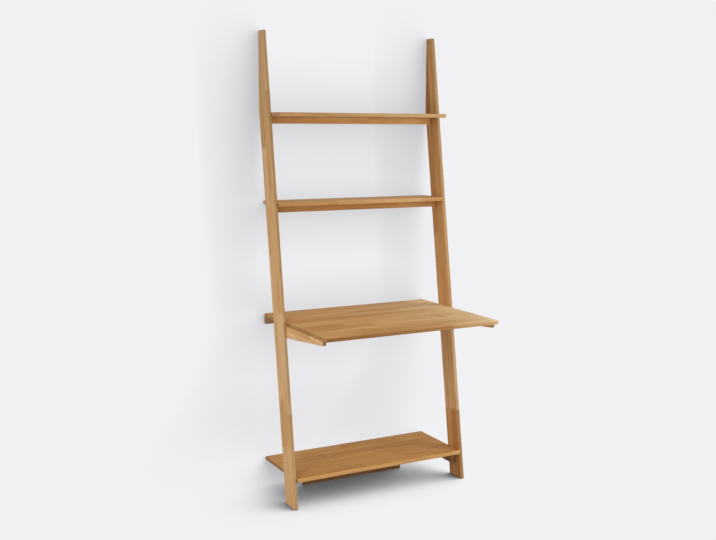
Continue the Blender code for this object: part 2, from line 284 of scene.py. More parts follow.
class NodeGraph:
    """The nodes of a material or of the world."""

    def __init__(self, tree: bpy.types.NodeTree) -> None:
        """Start with the nodes that a tree has."""
        self.tree = tree

    def feed(self, socket: Socket, value: Fed) -> None:
        """Link another socket into a socket, or set its own value.

        Args:
            socket: The socket.
            value: The other socket or the value.
        """
        if isinstance(value, Socket):
            self.tree.links.new(value, socket)
        else:
            socket.default_value = value

    def fill(self, node: bpy.types.Node, **values: Fed) -> bpy.types.Node:
        """Feed sockets of a node by their names.

        Args:
            node: The node.
            values: What goes into each socket, named with _ for a space.

        Returns:
            The node.
        """
        for name, value in values.items():
            self.feed(node.inputs[name.replace("_", " ")], value)
        return node

    def add(self, kind: str, *values: Fed, **settings: object) -> bpy.types.Node:
        """Add a node.

        Args:
            kind: Blender's name for it, without ShaderNode.
            values: What goes into its first sockets, in their order.
            settings: Its own properties.

        Returns:
            The node.
        """
        node = self.tree.nodes.new("ShaderNode" + kind)
        for name, setting in settings.items():
            setattr(node, name, setting)
        for socket, value in zip(node.inputs, values):
            self.feed(socket, value)
        return node

    def math(self, operation: str, *values: Socket | float) -> Socket:
        """Work out one number from others."""
        return self.add("Math", *values, operation=operation).outputs[0]

    def length(self, x: Socket, y: Socket) -> Socket:
        """Distance from a middle, given the way to it along two directions."""
        squares = [self.math("POWER", way, 2.0) for way in (x, y)]
        return self.math("SQRT", self.math("ADD", *squares))

    def split(self, vector: Socket) -> tuple[Socket, Socket, Socket]:
        """The three numbers of a vector."""
        return tuple(self.add("SeparateXYZ", vector).outputs)

    def join(self, x: Socket | float, y: Socket | float, z: Socket | float) -> Socket:
        """A vector from three numbers."""
        return self.add("CombineXYZ", x, y, z).outputs[0]

    def attribute(self, name: str, output: str) -> Socket:
        """One of the piece's own attributes, as a Vector, a Color or a number (Fac)."""
        return self.add("Attribute", attribute_name=name).outputs[output]

    def noise(self, place: Socket, scale: float, detail: float, rough: float = 0.5) -> Socket:
        """Soft noise between 0 and 1."""
        node = self.fill(self.add("TexNoise"), Vector=place, Scale=scale, Detail=detail, Roughness=rough)
        return node.outputs[0]

    def chance(self, place: Socket) -> bpy.types.Node:
        """A node that gives an even chance, and a colour of three, for each place."""
        return self.add("TexWhiteNoise", place, noise_dimensions="3D")

    def spread(self, value: Socket, low: float, high: float, to_low: float, to_high: float) -> Socket:
        """Stretch a range of numbers smoothly onto another, held at its ends."""
        ends = (low, high, to_low, to_high)
        return self.add("MapRange", value, *ends, interpolation_type="SMOOTHSTEP").outputs[0]

    def blend(self, factor: Fed, a: Socket | Colour, b: Socket | Colour, how: str = "MIX") -> Socket:
        """Mix two colours.

        Args:
            factor: Share of the second one.
            a: The first colour.
            b: The second colour.
            how: Blender's name for the way of mixing.

        Returns:
            The mixed colour.
        """
        node = self.add("Mix", data_type="RGBA", blend_type=how)
        self.feed(node.inputs[0], factor)
        for socket, colour in ((node.inputs[6], a), (node.inputs[7], b)):
            self.feed(socket, colour if isinstance(colour, Socket) else (*colour, 1.0))
        return node.outputs[2]

    def ramp(self, factor: Socket, stops: tuple[Colour, ...]) -> Socket:
        """Pick a colour from evenly spaced stops.

        Args:
            factor: Place on the ramp, from 0 to 1.
            stops: The colours.

        Returns:
            The picked colour.
        """
        node = self.add("ValToRGB", factor)
        band = node.color_ramp.elements
        while len(band) < len(stops):
            band.new(0.5)
        for number, colour in enumerate(stops):
            band[number].position = number / (len(stops) - 1)
            band[number].color = (*colour, 1.0)
        return node.outputs[0]

    def seen(self) -> Socket:
        """A number that is 1 for what shows, also in metal, and 0 for light that is given back.

        Returns:
            The number.
        """
        path = self.add("LightPath").outputs
        mirrored = self.math("MAXIMUM", path["Is Glossy Ray"], path["Is Transmission Ray"])
        return self.math("MAXIMUM", path["Is Camera Ray"], mirrored)


class MaterialGraph(NodeGraph):
    """The nodes of one material, with a Principled shader at their end."""

    def __init__(self, name: str) -> None:
        """Start a material that holds only its shader.

        Args:
            name: Name of the material.
        """
        self.material = bpy.data.materials.new(name)
        self.material.use_nodes = True
        super().__init__(self.material.node_tree)
        self.shader = self.tree.nodes["Principled BSDF"]
        self.output = self.tree.nodes["Material Output"]

    def set(self, **values: Fed) -> None:
        """Feed the shader's sockets, named with _ for a space."""
        self.fill(self.shader, **values)

    def bump(self, height: Socket, relief: Pair) -> None:
        """Raise the shader's surface by a height, with a relief's strength and distance."""
        node = self.fill(self.add("Bump"), Strength=relief[0], Distance=relief[1], Height=height)
        self.set(Normal=node.outputs[0])


class Finish(ABC):
    """What a piece is dressed with."""

    name: str

    def material(self) -> bpy.types.Material:
        """Build the material.

        Returns:
            The finished material.
        """
        g = MaterialGraph(self.name)
        self.dress(g)
        return g.material

    @abstractmethod
    def dress(self, g: MaterialGraph) -> None:
        """Add the finish's own nodes to a new material."""


@dataclass(frozen=True)
class Streaks:
    """Streaks or specks that show where soft noise is high.

    Args:
        scale: Waves of the noise per metre.
        detail: Octaves of finer waves.
        low: Noise at which a streak begins.
        high: Noise at which it is full.
        share: How much a full streak shows.
        rough: Strength of each octave over the one before.
    """

    scale: float
    detail: float
    low: float
    high: float
    share: float
    rough: float = 0.5

    def noise(self, g: NodeGraph, place: Socket) -> Socket:
        """The noise at each place."""
        return g.noise(place, self.scale, self.detail, self.rough)

    def cover(self, g: NodeGraph, noise: Socket) -> Socket:
        """How much of a streak each place has, from its noise."""
        return g.spread(noise, self.low, self.high, 0.0, self.share)


@dataclass(frozen=True)
class Rings:
    """Growth rings that show where the sine of a way through the log is high.

    Args:
        rate: Turn of the sine per metre, in radians.
        low: Sine at which a ring begins; it is full at 1.
        share: How much a full ring shows.
    """

    rate: float
    low: float
    share: float

    def cover(self, g: NodeGraph, way: Socket) -> Socket:
        """How much of a ring each place has."""
        return g.spread(g.math("SINE", g.math("MULTIPLY", way, self.rate)), self.low, 1.0, 0.0, self.share)


@dataclass(frozen=True)
class Knots:
    """Small knots in a few patches of the wood.

    Args:
        patch: Length and width of the patch of wood that may hold a knot.
        scatter: How far knots stray from an even grid of patches.
        reach: Distance over which a knot bends the grain, in patches.
        rare: Share of the patches that hold none.
        bend: Bend of the smallest knot, and what the largest has more.
        heart: Bend at which the dark heart begins, and at which it is full.
        share: How much a full heart shows.
        colour: Colour of the heart.
    """

    patch: Pair = (0.30, 0.12)
    scatter: float = 0.8
    reach: float = 0.13
    rare: float = 0.86
    bend: Pair = (0.006, 0.004)
    heart: Pair = (0.0055, 0.0095)
    share: float = 0.75
    colour: Colour = (0.16, 0.075, 0.030)

    def grow(self, g: NodeGraph, along: Socket, across: Socket, place: Socket) -> tuple[Socket, Socket]:
        """Bend the grain round the knots.

        Args:
            g: The material's nodes.
            along: Place along the grain.
            across: Place across it.
            place: Place in the log.

        Returns:
            How much of a heart each place has, and the place in the log after the bend.
        """
        steps = [g.math("DIVIDE", way, size) for way, size in zip((along, across), self.patch)]
        cells = g.add("TexVoronoi", voronoi_dimensions="2D")
        g.fill(cells, Vector=g.join(*steps, 0.0), Scale=1.0, Randomness=self.scatter)
        draw, size, _ = g.split(cells.outputs["Color"])
        near = g.spread(cells.outputs["Distance"], 0.0, self.reach, 1.0, 0.0)
        chosen = g.math("MULTIPLY", near, g.math("GREATER_THAN", draw, self.rare))
        bend = g.math("MULTIPLY", chosen, g.math("MULTIPLY_ADD", size, self.bend[1], self.bend[0]))
        x, y, z = g.split(place)
        bent = g.join(x, g.math("ADD", y, bend), g.math("ADD", z, bend))
        return g.spread(bend, *self.heart, 0.0, self.share), bent


@dataclass(frozen=True)
class SawnEnds:
    """Darker sawn ends with arcs of rings about a pith that lies off each stave.

    Args:
        early: What the pale wood multiplies the colour of the faces with.
        late: The same for arcs and specks.
        pith: Furthest way of the pith to the side, and its depth under the board.
        arcs: The rings.
        specks: The open pores.
    """

    early: Colour = (0.70, 0.67, 0.74)
    late: Colour = (0.48, 0.42, 0.42)
    pith: Pair = (0.05, 0.02)
    arcs: Rings = Rings(2600.0, -0.3, 0.5)
    specks: Streaks = Streaks(1900.0, 2.0, 0.5, 0.7, 0.5)

    def cut(self, g: NodeGraph, across: Socket, through: Socket, hue: Socket, tone: Socket) -> Socket:
        """Put the sawn ends into the colour of the faces.

        Args:
            g: The material's nodes.
            across: Place across the grain.
            through: Place through the board.
            hue: The number of each block.
            tone: The colour of the faces.

        Returns:
            The colour with its sawn ends.
        """
        pith = g.math("MULTIPLY", hue, self.pith[0])
        aside = g.math("SUBTRACT", g.math("PINGPONG", across, STAVE_WIDTH), pith)
        arcs = self.arcs.cover(g, g.length(aside, g.math("ADD", through, self.pith[1])))
        specks = self.specks.cover(g, self.specks.noise(g, g.join(across, through, hue)))
        sawn = g.blend(g.math("ADD", arcs, specks), self.early, self.late)
        return g.blend(g.attribute("end_grain", "Fac"), tone, sawn, "MULTIPLY")


@dataclass(frozen=True)
class OakFinish(Finish):
    """Oiled oak of staves that are glued edge to edge and finger-jointed end to end.

    It reads grain, the place along, across and through the wood; runs, the count of blocks along an even
    and an odd stave and whether joints are staggered by chance; tint, a colour per face: the lot's tone with
    painted light and shade in it; and two numbers: end_grain, which is 1 on sawn ends, and arris, which is 1
    on the rounded edges. A shade is what a mark multiplies the colour with.

    Args:
        name: Name of the material.
        tones: Colours that the blocks of wood are picked from.
        finger_pitch: Half the distance from one finger of a joint to the next.
        finger_slope: Length of a finger over that half.
        draws: Numbers that keep apart the chance draws for a stave's start and for a block's tone.
        stagger: Blocks over which staggered joints start by chance.
        matching: How far the blocks of a board with staggered joints are matched to one tone.
        apart: How far apart the blocks can lie in the log, along, across and through it.
        stretch: Width of the marks in the wood over their length.
        glue_line: Width over which the dark of a glue line fades.
        joint_line: Width of the same at a finger joint, over that.
        glue_share: How much a glue line shows.
        glue_shade: Its shade.
        figure: Broad streaks.
        fibre: Fine streaks.
        streak_shade: The shade of both.
        pores: The pores.
        pore_shade: Their shade.
        rings: Growth rings on the faces.
        ring_bend: Waves per metre of the slow noise that bends them, and how far.
        ring_shade: Their shade.
        knots: The knots.
        ends: The sawn ends.
        wear: How much the colour of worn wood shows on the edges.
        worn: That colour.
        rough_from: Noise of the figure over which the roughness changes.
        roughness: Roughness at both ends of it.
        specular: Level of the oil's gloss.
        refraction: Index of refraction of the oil.
        pore_depth: Depth of a pore in the relief.
        fibre_height: Height of the fibre in it.
        relief: Strength and distance of the relief.
    """

    name: str = "oiled_oak"
    tones: tuple[Colour, ...] = (
        (0.490, 0.220, 0.068),
        (0.630, 0.345, 0.128),
        (0.710, 0.408, 0.166),
        (0.752, 0.460, 0.208),
        (0.805, 0.525, 0.282),
    )
    finger_pitch: float = 0.006
    finger_slope: float = 2.6
    draws: Pair = (3.0, 7.0)
    stagger: float = 9.0
    matching: float = 0.5
    apart: Point = (31.0, 17.0, 11.0)
    stretch: float = 0.05
    glue_line: float = 0.0006
    joint_line: float = 2.5
    glue_share: float = 0.45
    glue_shade: Colour = (0.52, 0.40, 0.30)
    figure: Streaks = Streaks(70.0, 3.0, 0.35, 0.75, 0.60, 0.55)
    fibre: Streaks = Streaks(420.0, 2.0, 0.45, 0.75, 0.24, 0.6)
    streak_shade: Colour = (0.62, 0.52, 0.42)
    pores: Streaks = Streaks(1500.0, 1.0, 0.60, 0.72, 0.38)
    pore_shade: Colour = (0.40, 0.30, 0.22)
    rings: Rings = Rings(900.0, 0.2, 0.18)
    ring_bend: Pair = (22.0, 0.06)
    ring_shade: Colour = (0.66, 0.54, 0.42)
    knots: Knots = Knots()
    ends: SawnEnds = SawnEnds()
    wear: float = 0.10
    worn: Colour = (0.80, 0.60, 0.36)
    rough_from: Pair = (0.3, 0.8)
    roughness: Pair = (0.60, 0.76)
    specular: float = 0.18
    refraction: float = 1.45
    pore_depth: float = 0.6
    fibre_height: float = 0.5
    relief: Pair = (0.25, 0.0004)

    def dress(self, g: MaterialGraph) -> None:
        """Lay the marks of the wood over the tones of its blocks.

        Args:
            g: The material's nodes.
        """
        along, across, through = g.split(g.attribute("grain", "Vector"))
        hue, place, glue = self.blocks(g, along, across, through)
        heart, place = self.knots.grow(g, along, across, place)
        figure = self.figure.noise(g, place)
        fibre = self.fibre.noise(g, place)
        pores = self.pores.cover(g, self.pores.noise(g, place))
        marks = (
            (self.figure.cover(g, figure), self.streak_shade),
            (self.bent_rings(g, place), self.ring_shade),
            (self.fibre.cover(g, fibre), self.streak_shade),
            (pores, self.pore_shade),
            (glue, self.glue_shade),
        )
        # The colour per face holds the lot's tone and the light and shade painted on each bar.
        tone = g.blend(1.0, g.ramp(hue, self.tones), g.attribute("tint", "Color"), "MULTIPLY")
        for cover, shade in marks:
            tone = g.blend(cover, tone, shade, "MULTIPLY")
        tone = g.blend(heart, tone, self.knots.colour)
        tone = self.ends.cut(g, across, through, hue, tone)
        tone = g.blend(g.math("MULTIPLY", g.attribute("arris", "Fac"), self.wear), tone, self.worn)
        g.set(Base_Color=tone, Roughness=g.spread(figure, *self.rough_from, *self.roughness))
        g.set(IOR=self.refraction, Specular_IOR_Level=self.specular)
        sunk = g.math("MULTIPLY", pores, -self.pore_depth / self.pores.share)
        g.bump(g.math("MULTIPLY_ADD", fibre, self.fibre_height, sunk), self.relief)

    def blocks(
        self, g: NodeGraph, along: Socket, across: Socket, through: Socket
    ) -> tuple[Socket, Socket, Socket]:
        """Cut the wood into staves and finger-jointed blocks.

        Args:
            g: The material's nodes.
            along: Place along the grain.
            across: Place across it.
            through: Place through the board.

        Returns:
            A number from 0 to 1 for each block, a place in the log that the block was sawn from, and how
            much of a glue line each place has.
        """
        stave = g.math("FLOOR", g.math("DIVIDE", across, STAVE_WIDTH))
        even, odd, loose = g.split(g.attribute("runs", "Vector"))
        side = g.math("FLOORED_MODULO", stave, 2.0)
        run = g.math("MULTIPLY_ADD", side, g.math("SUBTRACT", odd, even), even)
        start_draw, tone_draw = self.draws
        start = g.math("MULTIPLY", g.chance(g.join(stave, start_draw, 0.0)).outputs["Value"], loose)
        finger = g.math("MULTIPLY", g.math("PINGPONG", across, self.finger_pitch), self.finger_slope)
        count = g.math("MULTIPLY_ADD", start, self.stagger, run)
        count = g.math("MULTIPLY_ADD", finger, 1.0 / BLOCK_LENGTH, count)
        drawn = g.chance(g.join(stave, g.math("FLOOR", count), tone_draw))
        hue, shift, depth = g.split(drawn.outputs["Color"])
        matched = g.math("MULTIPLY_ADD", hue, 1.0 - self.matching, 0.5 * self.matching)
        hue = g.math("MULTIPLY_ADD", loose, g.math("SUBTRACT", matched, hue), hue)
        within = (g.math("MULTIPLY", along, self.stretch), across, through)
        ways = zip((hue, shift, depth), self.apart, within)
        place = g.join(*(g.math("MULTIPLY_ADD", *way) for way in ways))
        edge = g.math("PINGPONG", across, STAVE_WIDTH / 2)
        joint = g.math("PINGPONG", count, 0.5)
        fine = self.glue_line * self.joint_line / BLOCK_LENGTH
        lines = ((edge, self.glue_line), (joint, fine))
        glue = [g.spread(way, 0.0, width, self.glue_share, 0.0) for way, width in lines]
        return hue, place, g.math("MAXIMUM", *glue)

    def bent_rings(self, g: NodeGraph, place: Socket) -> Socket:
        """Rings of the place across plus through the log, bent by slow noise.

        Args:
            g: The material's nodes.
            place: Place in the log.

        Returns:
            How much of a ring each place has.
        """
        scale, bend = self.ring_bend
        _, across, through = g.split(place)
        way = g.math("MULTIPLY_ADD", g.noise(place, scale, 1.0), bend, g.math("ADD", across, through))
        return self.rings.cover(g, way)


@dataclass(frozen=True)
class PlugFinish(Finish):
    """Oiled oak end grain on a small disc; it reads grain, the place on the disc.

    Args:
        name: Name of the material.
        early: Colour of the pale wood.
        late: Colour of the rings.
        pith: How far off the disc's middle the rings have theirs.
        rings: The rings.
        specks: The open pores.
        speck_shade: What they multiply the colour with.
        roughness: Roughness of the disc.
        specular: Level of the oil's gloss.
        relief: Strength and distance of the relief.
    """

    name: str = "plug_end_grain"
    early: Colour = (0.66, 0.405, 0.215)
    late: Colour = (0.54, 0.310, 0.150)
    pith: float = 0.03
    rings: Rings = Rings(math.tau / 0.0011, -0.4, 0.8)
    specks: Streaks = Streaks(2600.0, 2.0, 0.55, 0.75, 0.5)
    speck_shade: Colour = (0.45, 0.36, 0.28)
    roughness: float = 0.55
    specular: float = 0.4
    relief: Pair = (0.2, 0.0002)

    def dress(self, g: MaterialGraph) -> None:
        """Draw arcs of rings about a pith that lies off the disc.

        Args:
            g: The material's nodes.
        """
        place = g.attribute("grain", "Vector")
        x, y, _ = g.split(place)
        specks = self.specks.noise(g, place)
        tone = g.blend(self.rings.cover(g, g.length(g.math("ADD", x, self.pith), y)), self.early, self.late)
        tone = g.blend(self.specks.cover(g, specks), tone, self.speck_shade, "MULTIPLY")
        g.set(Base_Color=tone, Roughness=self.roughness, Specular_IOR_Level=self.specular)
        g.bump(specks, self.relief)


@dataclass(frozen=True)
class BeechFinish(Finish):
    """Bare beech of the dowels; it reads grain, the place along and across the dowel.

    Args:
        name: Name of the material.
        pale: Colour of the wood.
        dark: Colour of its flecks.
        flecks: The flecks.
        stretch: Width of a fleck over its length.
        roughness: Roughness of the wood.
        relief: Strength and distance of the relief.
    """

    name: str = "bare_beech"
    pale: Colour = (0.64, 0.46, 0.29)
    dark: Colour = (0.48, 0.31, 0.18)
    flecks: Streaks = Streaks(2200.0, 2.0, 0.5, 0.7, 0.8)
    stretch: float = 0.12
    roughness: float = 0.7
    relief: Pair = (0.15, 0.0002)

    def dress(self, g: MaterialGraph) -> None:
        """Draw short flecks along the dowel.

        Args:
            g: The material's nodes.
        """
        along, across, through = g.split(g.attribute("grain", "Vector"))
        flecks = self.flecks.noise(g, g.join(g.math("MULTIPLY", along, self.stretch), across, through))
        tone = g.blend(self.flecks.cover(g, flecks), self.pale, self.dark)
        g.set(Base_Color=tone, Roughness=self.roughness)
        g.bump(flecks, self.relief)


@dataclass(frozen=True)
class ZincFinish(Finish):
    """Zinc-plated steel with the faint blotches of the plating.

    Args:
        name: Name of the material.
        bright: Colour of the plating.
        dull: Colour of its blotches.
        blotches: The blotches.
        rough_from: Noise of the blotches over which the roughness changes.
        roughness: Roughness at both ends of it.
        scratches: Waves per metre and octaves of the fine scratches.
        relief: Strength and distance of the relief.
    """

    name: str = "zinc_plate"
    bright: Colour = (0.66, 0.67, 0.68)
    dull: Colour = (0.48, 0.49, 0.50)
    blotches: Streaks = Streaks(260.0, 3.0, 0.35, 0.7, 1.0)
    rough_from: Pair = (0.3, 0.7)
    roughness: Pair = (0.28, 0.46)
    scratches: Pair = (2340.0, 2.0)
    relief: Pair = (0.08, 0.0001)

    def dress(self, g: MaterialGraph) -> None:
        """Spread the blotches on object coordinates.

        Args:
            g: The material's nodes.
        """
        place = g.add("TexCoord").outputs["Object"]
        blotches = self.blotches.noise(g, place)
        g.set(Base_Color=g.blend(self.blotches.cover(g, blotches), self.bright, self.dull), Metallic=1.0)
        g.set(Roughness=g.spread(blotches, *self.rough_from, *self.roughness))
        g.bump(g.noise(place, *self.scratches), self.relief)


@dataclass(frozen=True)
class Easing:
    """How the edges of a bar are rounded by sanding.

    Args:
        radius: Radius of the rounded edge, R.
        steps: Facets of a quarter round.
        drift: Share by which the radius wanders along the edge.
        wave: Length over which it wanders.
        quick: How much shorter the second wave is.
        full: Middle of the wandering radius over R.
        least: Smallest radius over R.
        worn: Share of R over which an edge looks worn.
        pitch: Distance between the rings of the bar.
    """

    radius: float = 0.0030
    steps: int = 5
    drift: float = 0.30
    wave: float = 0.19
    quick: float = 2.7
    full: float = 1.1
    least: float = 0.1
    worn: float = 0.7
    pitch: float = 0.03

    def run(self, stops: Array) -> tuple[Array, Array]:
        """Places of the rings along a bar, and how far each is drawn in to round the ends.

        Near an end the place is R(1 - sin a) from it and the ring is drawn in by R(1 - cos a),
        with a from 90 degrees at the end to 0.

        Args:
            stops: Places that need a ring, from the start of the bar to its end.

        Returns:
            The places and the amounts.
        """
        turn = np.linspace(0.0, QUARTER, self.steps + 1)
        back = self.radius * (1.0 - np.sin(turn))
        drawn = self.radius * (1.0 - np.cos(turn))
        first, last = stops[0] + self.radius, stops[-1] - self.radius
        count = max(2, round((last - first) / self.pitch))
        inner = np.union1d(np.linspace(first, last, count + 1), stops[1:-1])
        places = np.concatenate([stops[0] + back[:0:-1], inner, stops[-1] - back[1:]])
        return places, np.concatenate([drawn[:0:-1], np.zeros(len(inner)), drawn[1:]])

    def radii(self, places: Array, drawn: Array, seed: int) -> Array:
        """Radius of each of the four edges at each ring.

        It wanders as full R(1 + drift (sin(2 pi s / wave + p) + sin(2 pi s quick / wave + q)) / 2), with
        phases p and q drawn for each edge, less what the ring is drawn in.

        Args:
            places: Places of the rings, s.
            drawn: How far each ring is drawn in.
            seed: Number of the bar.

        Returns:
            An array of rings by 4.
        """
        phase = np.random.default_rng(seed).uniform(0.0, math.tau, (2, 4))
        slow = np.sin(math.tau * places[:, None] / self.wave + phase[0])
        quick = np.sin(math.tau * places[:, None] * self.quick / self.wave + phase[1])
        wander = 1.0 + self.drift * (slow + quick) / 2.0
        return np.maximum(self.radius * (self.full * wander) - drawn[:, None], self.radius * self.least)


@dataclass(frozen=True)
class Stock:
    """The lot of oak that a bar is made from, with light and shade painted into its colours.

    Args:
        start: Tint at the start of the bar's run, which multiplies the tones: the lot's own colour with
            painted light and shade.
        end: Tint at its end.
        late: Power of the way along the run with which the one tint becomes the other.
        front_start: What the front faces multiply the tint with at the start of the run; it holds painted
            light and shade of the front edges.
        front_end: The same at the end of the run.
        joints: Places of the finger joints along an even and an odd stave; none staggers them by chance.
        lots: Number of the first block of an even and an odd stave, which picks the tones of its blocks.
        spare: Blocks that are left after the last joint.
    """

    start: Colour = WHITE
    end: Colour = WHITE
    late: float = 2.0
    front_start: Colour = WHITE
    front_end: Colour = WHITE
    joints: tuple[tuple[float, ...], ...] = ()
    lots: tuple[int, ...] = ()
    spare: int = 4

    @classmethod
    def even(cls, tint: Colour, **fronts: Colour) -> "Stock":
        """A lot with one tint along the run, painted light and shade included."""
        return cls(start=tint, end=tint, **fronts)

    def tint(self, share: Array, forward: Array) -> Array:
        """Tint of some faces, painted light and shade included: body(s) (1 - f) + body(s) front(s) f.

        Args:
            share: How far each face lies along the run, s.
            forward: How far each face looks to the front, f.

        Returns:
            One colour per face.
        """
        way = (share**self.late)[:, None]
        body = np.array(self.start) * (1.0 - way) + np.array(self.end) * way
        even = share[:, None]
        front = np.array(self.front_start) * (1.0 - even) + np.array(self.front_end) * even
        return body * (1.0 + forward[:, None] * (front - 1.0))

    def runs(self, along: Array) -> Array:
        """Count of blocks at some places of an even and an odd stave, 1 more after each joint.

        Args:
            along: Places along the grain from the start of the bar.

        Returns:
            One row of the two counts, and 1 where joints are staggered by chance, per place.
        """
        if not self.joints:
            plain = along / BLOCK_LENGTH
            return np.column_stack([plain, plain, np.ones_like(along)])
        counts = []
        for joints, lot in zip(self.joints, self.lots):
            stops = [joints[0] - BLOCK_LENGTH, *joints, joints[-1] + self.spare * BLOCK_LENGTH]
            numbers = [*range(len(joints) + 1), len(joints) + self.spare]
            counts.append(lot + np.interp(along, stops, numbers))
        return np.column_stack([*counts, np.zeros_like(along)])


@dataclass
class Bar:
    """A bar of oak whose section is a rectangle with rounded edges that may change along its run.

    Args:
        node: The solid that it stands for.
        run: The direction that it runs along.
        stops: Places along the run where the section is given.
        low: Lower limits of the section along the two cross directions, one row per stop.
        high: Upper limits, one row per stop.
        seed: Number of the bar, which sets its staves.
        stock: Its lot of oak, with light and shade painted into its colours.
        lean: Angle by which the grain leans from the run towards +Y.
        easing: How its edges are rounded.
        first_stave: How much narrower the first stave is than the others.
        end_slope: Least part of a sawn end's normal along the run.
        lot_step: Way in the log from the oak of one bar to that of the next, along, across and through.
    """

    node: str
    run: Axis
    stops: Array
    low: Array
    high: Array
    seed: int
    stock: Stock
    lean: float = 0.0
    easing: Easing = Easing()
    first_stave: float = 0.0004
    end_slope: float = 0.7
    lot_step: Point = (7.3, 20 * STAVE_WIDTH, 0.0)

    @classmethod
    def of_box(cls, node: str, run: Axis, seed: int, stock: Stock) -> "Bar":
        """A straight bar as large as a solid's box.

        Args:
            node: The solid.
            run: The direction that the bar runs along.
            seed: Number of the bar.
            stock: Its lot of oak.

        Returns:
            The bar.
        """
        low, high = limits(node)
        stops = np.array([low[run.value], high[run.value]])
        section = [np.tile(corner[list(run.others)], (2, 1)) for corner in (low, high)]
        return cls(node, run, stops, *section, seed, stock)

    def section(self, places: Array) -> list[Array]:
        """Lower and upper limits of the section at some places, in straight lines between the stops."""
        sides = (self.low.T, self.high.T)
        return [np.stack([np.interp(places, self.stops, one) for one in side], axis=-1) for side in sides]

    def surface(self) -> Surface:
        """Sweep the rounded rectangle along the run.

        Corner k of the section turns from k to k + 1 quarters: P(s, t) = c_k(s) + r_k(s) (cos t, sin t),
        where the centre c_k lies r_k(s) inside the two limits that meet at the corner.

        Returns:
            The closed surface of the bar.
        """
        places, drawn = self.easing.run(self.stops)
        low, high = self.section(places)
        per_corner = self.easing.steps + 1
        angle = (np.arange(4)[:, None] * QUARTER + np.linspace(0.0, QUARTER, per_corner)).ravel()
        radius = np.repeat(self.easing.radii(places, drawn, self.seed), per_corner, axis=1)
        rings = np.empty((*radius.shape, 3))
        rings[..., self.run.value] = places[:, None]
        signs = np.repeat([[1, -1, -1, 1], [1, 1, -1, -1]], per_corner, axis=1)
        for number, (axis, wave) in enumerate(zip(self.run.others, (np.cos(angle), np.sin(angle)))):
            upper = (high[:, number] - drawn)[:, None] - radius
            lower = (low[:, number] + drawn)[:, None] + radius
            rings[..., axis] = np.where(signs[number] > 0, upper, lower) + radius * wave
        return skin(rings)

    def share(self, points: Array) -> Array:
        """How far each point lies along the run: 0 at its start and 1 at its end."""
        return (points[:, self.run.value] - self.stops[0]) / (self.stops[-1] - self.stops[0])

    def grain(self, points: Array) -> Array:
        """Place of each point along, across and through the wood from the bar's own corner.

        The grain runs along the bar, turned by its lean; staves lie side by side along the wider
        cross direction.

        Args:
            points: Points of the bar.

        Returns:
            One row of along, across and through per point.
        """
        wide = int(np.argmax((self.high - self.low).max(axis=0)))
        order = [wide, 1 - wide]
        cross = points[:, np.array(self.run.others)[order]] - self.low[0][order]
        along, across = points[:, self.run.value] - self.stops[0], cross[:, 0]
        turned_along = along * math.cos(self.lean) + across * math.sin(self.lean)
        turned_across = across * math.cos(self.lean) - along * math.sin(self.lean)
        return np.stack([turned_along, turned_across + self.first_stave, cross[:, 1]], axis=-1)

    def arris(self, points: Array) -> Array:
        """How far each point lies on a rounded edge: (1 - its second smallest depth in the bar / R) / worn.

        Args:
            points: Points of the bar.

        Returns:
            A number from 0 on the flats to 1 on the edges, per point.
        """
        places = points[:, self.run.value]
        low, high = self.section(places)
        cross = points[:, list(self.run.others)]
        ends = np.minimum(places - self.stops[0], self.stops[-1] - places)
        depths = np.column_stack([np.minimum(cross - low, high - cross), ends])
        second = np.sort(depths, axis=1)[:, 1]
        return np.clip((1.0 - second / self.easing.radius) / self.easing.worn, 0.0, 1.0)

    def build(self, finish: bpy.types.Material, cutters: list[Surface]) -> None:
        """Make the bar's piece, drill it and dress it.

        Args:
            finish: Its oak.
            cutters: Shapes of the holes in it.
        """
        piece = as_object("oak_" + self.node, self.surface())
        drilled(piece, cutters)
        mesh = piece.data
        points = rows(mesh.vertices, "co")
        grain = self.grain(points)
        store(mesh, "grain", Domain.POINT, grain + self.seed * np.array(self.lot_step))
        store(mesh, "runs", Domain.POINT, self.stock.runs(grain[:, 0]))
        store(mesh, "arris", Domain.POINT, self.arris(points))
        normals = rows(mesh.polygons, "normal")
        ends = np.abs(normals[:, self.run.value]) > self.end_slope
        store(mesh, "end_grain", Domain.FACE, ends.astype(float))
        # Each face gets the lot's tone with painted light and shade along the run; front faces also get the
        # painted light and shade of front edges.
        forward = np.clip(-normals[:, Axis.Y.value], 0.0, 1.0)
        tint = self.stock.tint(self.share(rows(mesh.polygons, "center")), forward)
        store(mesh, "tint", Domain.FACE, tint)
        hand_over(piece, self.node, finish)


